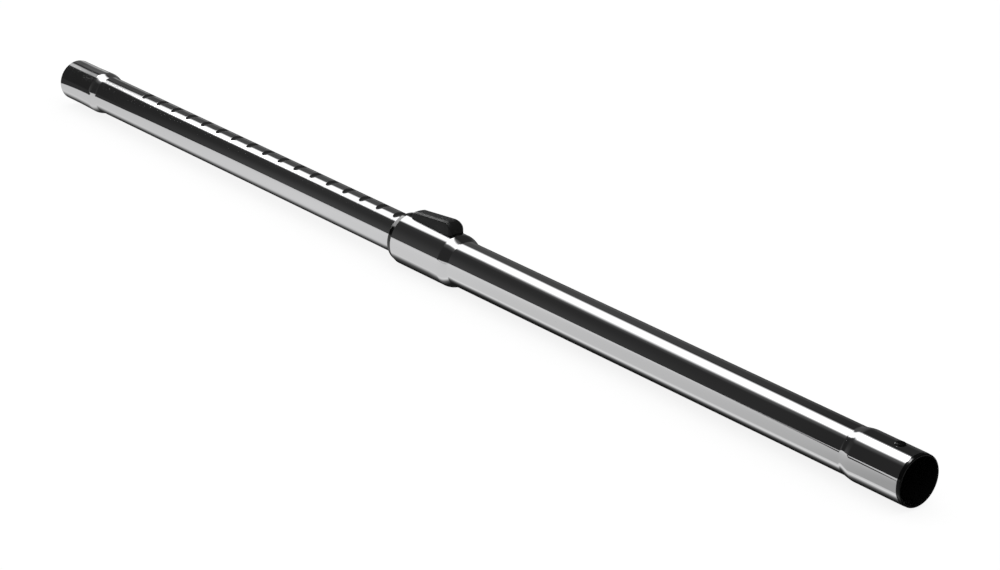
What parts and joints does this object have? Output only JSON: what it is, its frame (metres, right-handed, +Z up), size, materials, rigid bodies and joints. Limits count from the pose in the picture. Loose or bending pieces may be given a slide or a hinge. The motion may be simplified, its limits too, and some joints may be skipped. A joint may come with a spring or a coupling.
{
  "type": "vacuum extension wand",
  "caption": "Chromed steel telescopic vacuum wand, extended, with a thumb slider lock, a handle socket with a plastic liner and a tapered tool end.",
  "frame": {"origin": "on the surface that the wand lies on, at the middle of its length and width", "axes": "+X along the wand towards the handle socket, -X towards the tool end, +Z up towards the thumb slider"},
  "size_m": [1, 0.042, 0.0511],
  "materials": {
    "chromed_steel": "polished",
    "black_moulding": "satin",
    "slider_moulding": "fine grain",
    "seal_rubber": "matte",
    "glide_plastic": "smooth",
    "plate_steel": "plated",
    "die_cast": "as cast",
    "spring_wire": "drawn"
  },
  "bodies": {
    "outer": {"outer_tube": "chromed_steel", "guide_bush": "black_moulding", "lip_seal": "seal_rubber", "socket_liner": "black_moulding", "return_spring_left": "spring_wire", "return_spring_right": "spring_wire"},
    "inner": {"inner_tube": "chromed_steel", "glide_shell_left": "glide_plastic", "glide_shell_right": "glide_plastic"},
    "slider": {"thumb_slider": "slider_moulding", "cam_plate": "plate_steel"},
    "lock": {"lock_block": "die_cast", "cross_pin": "plate_steel"}
  },
  "joints": [
    {"name": "tube_slide", "type": "slide", "parent": "outer", "child": "inner", "axis": [1, 0, 0], "range_m": [0, 0.3852]},
    {"name": "slider_slide", "type": "slide", "parent": "outer", "child": "slider", "axis": [-1, 0, 0], "range_m": [0, 0.006], "stiffness_N_per_m": 900, "springref_m": -0.004, "deforming": ["return_spring_left", "return_spring_right"]},
    {"name": "lock_lift", "type": "slide", "parent": "outer", "child": "lock", "axis": [0, 0, 1], "range_m": [0, 0.002]}
  ],
  "couplings": [
    {"joint": "lock_lift", "follows": "slider_slide", "ratio": 0.33333}
  ]
}
